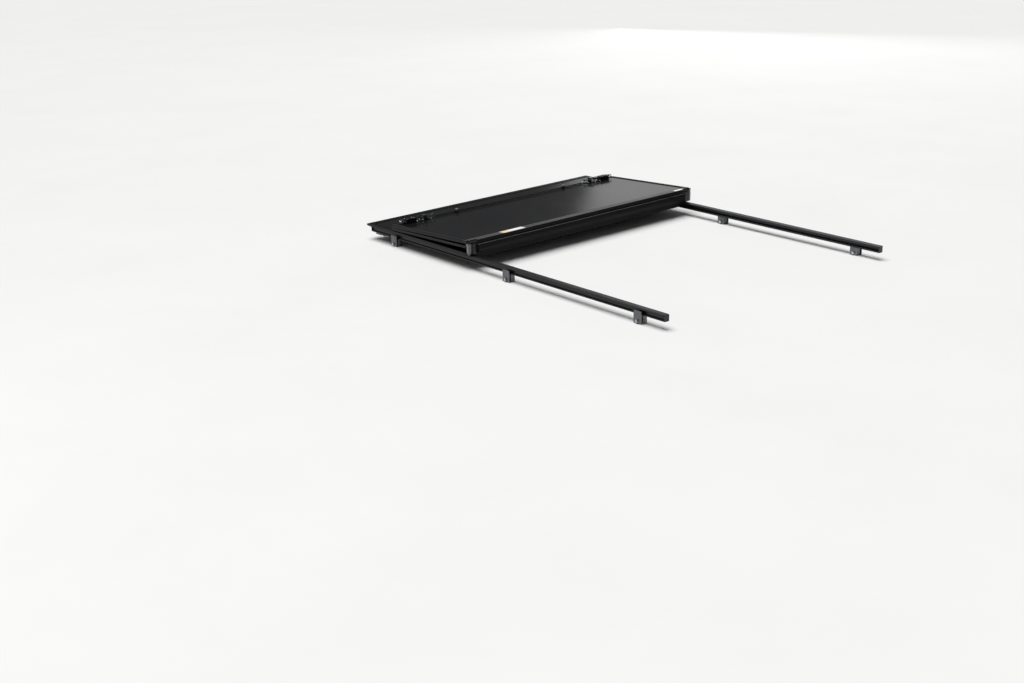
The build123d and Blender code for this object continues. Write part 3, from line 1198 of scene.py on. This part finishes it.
@dataclass
class Rivets:
    """The blind rivets that close each panel frame's corners, seen on the undersides."""

    radius: float = 3.2 * MM
    height: float = 1.3 * MM
    line: float = 752.5 * MM
    insets: tuple[float, float] = (9 * MM, 20 * MM)

    def corner_set(self, deck: Deck, name: str) -> None:
        """Set two rivets at each corner of a panel's underside.

        Args:
            deck: The panel's axes.
            name: The piece's name.
        """
        shape = bmesh.new()
        far = deck.start + deck.length
        places = [deck.start + inset for inset in self.insets]
        places += [far - inset for inset in self.insets]
        for side in (-1, 1):
            for along in places:
                seat = deck.at(side * self.line, along, -HALF_THICK)
                add_dome(shape, seat, -deck.out, self.radius, self.height)
        finish_piece(name, shape, deck.body, BLACK_ZINC)

    def build(self) -> None:
        """Rivet the two folding panels."""
        self.corner_set(MIDDLE_DECK, "middle_corner_rivets")
        self.corner_set(REAR_DECK, "rear_corner_rivets")


@dataclass(frozen=True)
class SoftBox:
    """A rectangular soft light, sized by how bright its face looks, leaning by some degrees."""

    name: str
    at: tuple[float, float, float]
    aim: tuple[float, float, float]
    size: tuple[float, float]
    shine: float
    lean: float = 0.0

    def hang(self) -> None:
        """Hang the light and turn it to its aim."""
        data = bpy.data.lights.new(self.name, "AREA")
        data.shape = "RECTANGLE"
        data.size, data.size_y = self.size
        data.energy = self.shine * math.pi * self.size[0] * self.size[1]
        made = put_in_scene(self.name, data)
        made.location = self.at
        tilt = Quaternion((0, 0, 1), math.radians(self.lean))
        ahead = Vector(self.aim) - Vector(self.at)
        made.rotation_euler = (ahead.to_track_quat("-Z", "Y") @ tilt).to_euler()


@dataclass
class Studio:
    """The floor, the soft lights and the camera."""

    eye: Vector = field(default_factory=lambda: Vector((-4.8476, -4.8269, 1.8440)))
    yaw: float = 40.691
    pitch: float = 19.295
    roll: float = 1.114
    lens_mm: float = 50.235
    overhead: float = 3.5
    overhead_spread: float = 50.0
    overhead_tilt: tuple[float, float] = (-8.0, -10.0)
    air: float = 0.08
    reach: float = 30.0
    # A pale wall shines in the cover's far right end, and two others catch its near edges.
    boxes: tuple[SoftBox, ...] = (
        SoftBox("back_right_wall", (6.6, 4.45, 2.75), (0.4, 0.5, 1.2), (4.7, 4.7), 0.56, -15.0),
        SoftBox("front_left_wall", (-7.0, -6.2, 3.4), (0.0, 0.3, 0.4), (5.0, 4.5), 0.45),
        SoftBox("left_panel", (-5.5, 0.6, 1.3), (-0.7, 0.3, 0.0), (2.5, 2.0), 0.9),
    )

    def floor(self) -> None:
        """Lay a plain pale floor just below the lowest point of the clamps."""
        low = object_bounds()[0].z - 0.5 * MM
        shape = bmesh.new()
        corners = ((-1, -1), (1, -1), (1, 1), (-1, 1))
        ring = [Vector((x * self.reach, y * self.reach, low)) for x, y in corners]
        shape.faces.new([shape.verts.new(p) for p in ring])
        mesh = from_bmesh("floor", shape)
        mesh.materials.append(STUDIO_FLOOR.build())
        put_in_scene("floor", mesh)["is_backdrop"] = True

    def lights(self) -> None:
        """Light the cover from above with a wide scrim, and hang the soft boxes round it."""
        for box in self.boxes:
            box.hang()
        data = bpy.data.lights.new("overhead_scrim", "SUN")
        data.energy = self.overhead
        data.angle = math.radians(self.overhead_spread)
        made = put_in_scene("overhead_scrim", data)
        made.rotation_euler = (*(math.radians(v) for v in self.overhead_tilt), 0)
        world = bpy.data.worlds.new("studio_air")
        world.use_nodes = True
        sky = next(n for n in world.node_tree.nodes if n.type == "BACKGROUND")
        sky.inputs["Color"].default_value = linear("dfe1e4")
        sky.inputs["Strength"].default_value = self.air
        bpy.context.scene.world = world
        bpy.context.scene.view_settings.view_transform = "Standard"

    def camera(self) -> None:
        """Set the camera up behind and to the left of the truck's bed."""
        yaw, pitch, roll = (math.radians(v) for v in (self.yaw, self.pitch, self.roll))
        ahead = Vector(
            (math.sin(yaw) * math.cos(pitch), math.cos(yaw) * math.cos(pitch), -math.sin(pitch))
        )
        right = Vector((math.cos(yaw), -math.sin(yaw), 0))
        down = ahead.cross(right)
        level = right * math.cos(roll) + down * math.sin(roll)
        under = down * math.cos(roll) - right * math.sin(roll)
        data = bpy.data.cameras.new("camera")
        data.lens = self.lens_mm
        data.sensor_width = 36.0
        data.clip_end = 200.0
        made = put_in_scene("camera", data)
        turn = Matrix((level, -under, -ahead)).transposed()
        made.matrix_world = Matrix.Translation(self.eye) @ turn.to_4x4()
        bpy.context.scene.camera = made

    def build(self) -> None:
        """Set up the whole studio."""
        self.floor()
        self.lights()
        self.camera()


def build_latches() -> None:
    """Make the four latches' small pieces: the middle panel's are the larger ones."""
    for side, word in ((-1, "left"), (1, "right")):
        Latch(
            MIDDLE_DECK, side, "middle_" + word, coil_start=602 * MM, coil_radius=7.6 * MM,
            wire=1.4 * MM, turns=5.5, plate_rivets=(553 * MM, 608 * MM, 641 * MM), ear=574 * MM,
        ).build()
        Latch(
            REAR_DECK, side, "rear_" + word, coil_start=556.5 * MM, coil_radius=4.2 * MM,
            wire=0.8 * MM, turns=14, plate_rivets=(553 * MM, 600 * MM, 641 * MM),
        ).build()


def main() -> None:
    """Build the whole cover in order."""
    logging.basicConfig(level=logging.INFO, format="%(message)s")
    CadDressing().dress()
    LinkTrim().build()
    Seals().build()
    Cables().build()
    HingeEdge().build()
    Rivets().build()
    build_latches()
    Studio().build()


if __name__ == "__main__":
    main()
